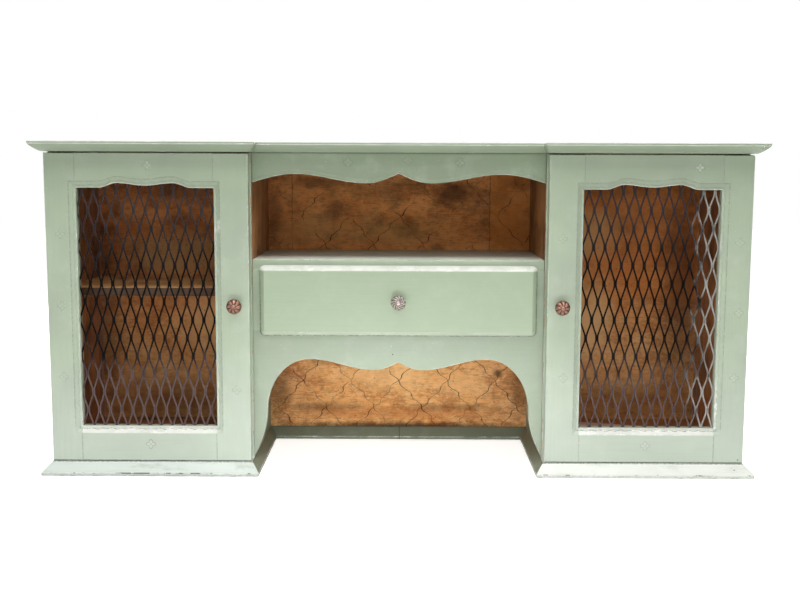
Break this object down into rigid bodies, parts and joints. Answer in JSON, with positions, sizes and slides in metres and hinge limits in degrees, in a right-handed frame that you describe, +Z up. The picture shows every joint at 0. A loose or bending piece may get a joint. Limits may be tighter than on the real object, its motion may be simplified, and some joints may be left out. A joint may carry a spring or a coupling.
{
  "type": "wall cabinet",
  "caption": "Painted breakfront wall cabinet with expanded-metal cupboard doors beside an open niche, a drawer and an arched recess, under a shared cornice.",
  "frame": {"origin": "on the ground under the middle of the outer box", "axes": "+Z up, -Y towards the front, +X to the right as seen from the front"},
  "size_m": [1.255, 0.2988, 0.5809],
  "materials": {
    "painted_wood": "satin sage green paint",
    "stained_wood": "satin brown stain",
    "bare_wood": "unfinished",
    "black_steel": "worn black",
    "copper": "aged copper brown",
    "pewter": "aged pewter grey",
    "dark_iron": "dark, dull"
  },
  "bodies": {
    "carcass": {"apron": "painted_wood", "back_panel": "stained_wood", "base_centre": "painted_wood", "base_left_front": "painted_wood", "base_left_return": "painted_wood", "base_left_side": "painted_wood", "base_right_front": "painted_wood", "base_right_return": "painted_wood", "base_right_side": "painted_wood", "centre_shelf": "painted_wood", "cornice_centre": "painted_wood", "cornice_left_front": "painted_wood", "cornice_left_return": "painted_wood", "cornice_left_side": "painted_wood", "cornice_right_front": "painted_wood", "cornice_right_return": "painted_wood", "cornice_right_side": "painted_wood", "drawer_runner_left": "bare_wood", "drawer_runner_right": "bare_wood", "drawer_stile_left": "painted_wood", "drawer_stile_right": "painted_wood", "floor_left": "stained_wood", "floor_right": "stained_wood", "inner_side_left": "painted_wood", "inner_side_right": "painted_wood", "left_hinge_lower_case_leaf": "dark_iron", "left_hinge_upper_case_leaf": "dark_iron", "left_shelf": "stained_wood", "left_shelf_cleat_inner": "stained_wood", "left_shelf_cleat_outer": "stained_wood", "outer_side_left": "painted_wood", "outer_side_right": "painted_wood", "right_hinge_lower_case_leaf": "dark_iron", "right_hinge_upper_case_leaf": "dark_iron", "top_board": "painted_wood", "valance": "painted_wood"},
    "left_door": {"left_door_bottom_rail": "painted_wood", "left_door_hinge_stile": "painted_wood", "left_door_knob": "copper", "left_door_lock_stile": "painted_wood", "left_door_mesh": "black_steel", "left_door_mesh_bead": "bare_wood", "left_door_top_rail": "painted_wood", "left_hinge_lower_door_leaf": "dark_iron", "left_hinge_upper_door_leaf": "dark_iron"},
    "right_door": {"right_door_bottom_rail": "painted_wood", "right_door_hinge_stile": "painted_wood", "right_door_knob": "copper", "right_door_lock_stile": "painted_wood", "right_door_mesh": "black_steel", "right_door_mesh_bead": "bare_wood", "right_door_top_rail": "painted_wood", "right_hinge_lower_door_leaf": "dark_iron", "right_hinge_upper_door_leaf": "dark_iron"},
    "drawer": {"drawer_back": "bare_wood", "drawer_bottom": "bare_wood", "drawer_front": "painted_wood", "drawer_knob": "pewter", "drawer_left_side": "bare_wood", "drawer_right_side": "bare_wood"}
  },
  "joints": [
    {"name": "left_door_swing", "type": "hinge", "parent": "carcass", "child": "left_door", "pos_m": [-0.6105, -0.1026, 0.0243], "axis": [0, 0, -1], "range_deg": [0, 170]},
    {"name": "right_door_swing", "type": "hinge", "parent": "carcass", "child": "right_door", "pos_m": [0.6105, -0.1026, 0.0243], "axis": [0, 0, 1], "range_deg": [0, 170]},
    {"name": "drawer_slide", "type": "slide", "parent": "carcass", "child": "drawer", "axis": [0, -1, 0], "range_m": [0, 0.16]}
  ]
}
